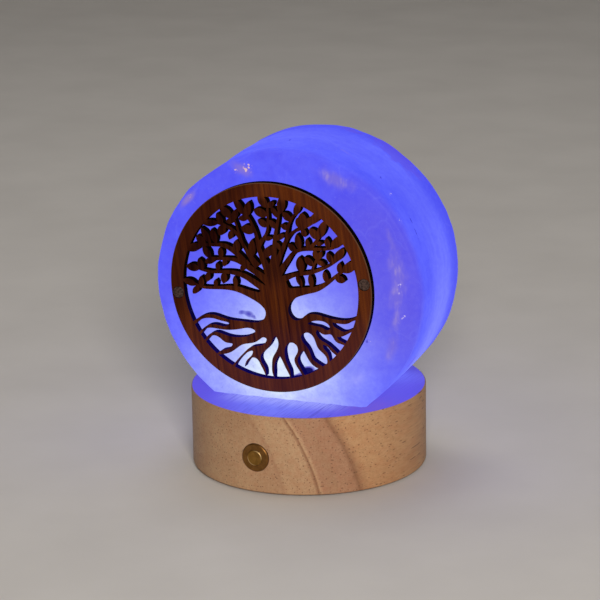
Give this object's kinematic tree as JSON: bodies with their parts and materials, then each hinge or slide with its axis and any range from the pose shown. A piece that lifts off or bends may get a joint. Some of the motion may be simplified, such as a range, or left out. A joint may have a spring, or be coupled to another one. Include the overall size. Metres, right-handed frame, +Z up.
{
  "type": "salt crystal lamp",
  "caption": "Lit rock-salt disc standing on a turned wooden base with a push button, a charging socket and a pierced tree panel held by magnets.",
  "frame": {"origin": "centre of the foot pad's underside, on the surface that the lamp stands on, on the wooden base's axis", "axes": "+Z up along the base's axis; the button faces -Y and the charging socket +Y; the salt disc's face and the tree panel face -Y, turned 5.2 degrees about Z"},
  "size_m": [0.1232, 0.101, 0.1402],
  "materials": {
    "base_wood": "satin",
    "cover_plastic": "matte",
    "foot_foam": "matte",
    "screw_steel": "satin",
    "frosted_window": "satin",
    "lamp_board": "satin",
    "lamp_lens": "gloss",
    "circuit_board": "satin",
    "black_components": "matte",
    "white_headers": "matte",
    "socket_steel": "satin",
    "bronze_bezel": "satin",
    "bronze_cap": "satin",
    "cell_wrap": "satin",
    "lead_sleeve": "satin",
    "rock_salt": "satin",
    "magnet_nickel": "satin",
    "panel_wood": "satin"
  },
  "bodies": {
    "base": {"base_housing": "base_wood", "bottom_cover": "cover_plastic", "foot_pad": "foot_foam", "cover_screws": "screw_steel", "light_window": "frosted_window", "led_board": "lamp_board", "leds": "lamp_lens", "led_board_screws": "screw_steel", "control_board": "circuit_board", "board_screws": "screw_steel", "board_components": "black_components", "lead_headers": "white_headers", "usb_socket": "socket_steel", "switch_board": "circuit_board", "tact_switch": "black_components", "button_bezel": "bronze_bezel", "battery_cell": "cell_wrap", "battery_pads": "foot_foam", "battery_leads": "lead_sleeve", "led_leads": "lead_sleeve", "switch_leads": "lead_sleeve"},
    "button": {"button_cap": "bronze_cap", "switch_plunger": "white_headers"},
    "salt": {"salt_block": "rock_salt", "salt_magnets": "magnet_nickel"},
    "panel": {"tree_panel": "panel_wood", "panel_magnets": "magnet_nickel"}
  },
  "joints": [
    {"name": "button_press", "type": "slide", "parent": "base", "child": "button", "axis": [0, 1, 0], "range_m": [0, 0.0006], "stiffness_N_per_m": 3000},
    {"name": "salt_lift", "type": "slide", "parent": "base", "child": "salt", "axis": [0, 0, 1], "range_m": [0, 0.03]},
    {"name": "panel_pull", "type": "slide", "parent": "salt", "child": "panel", "axis": [0.0906, -0.9959, 0], "range_m": [0, 0.03]}
  ]
}
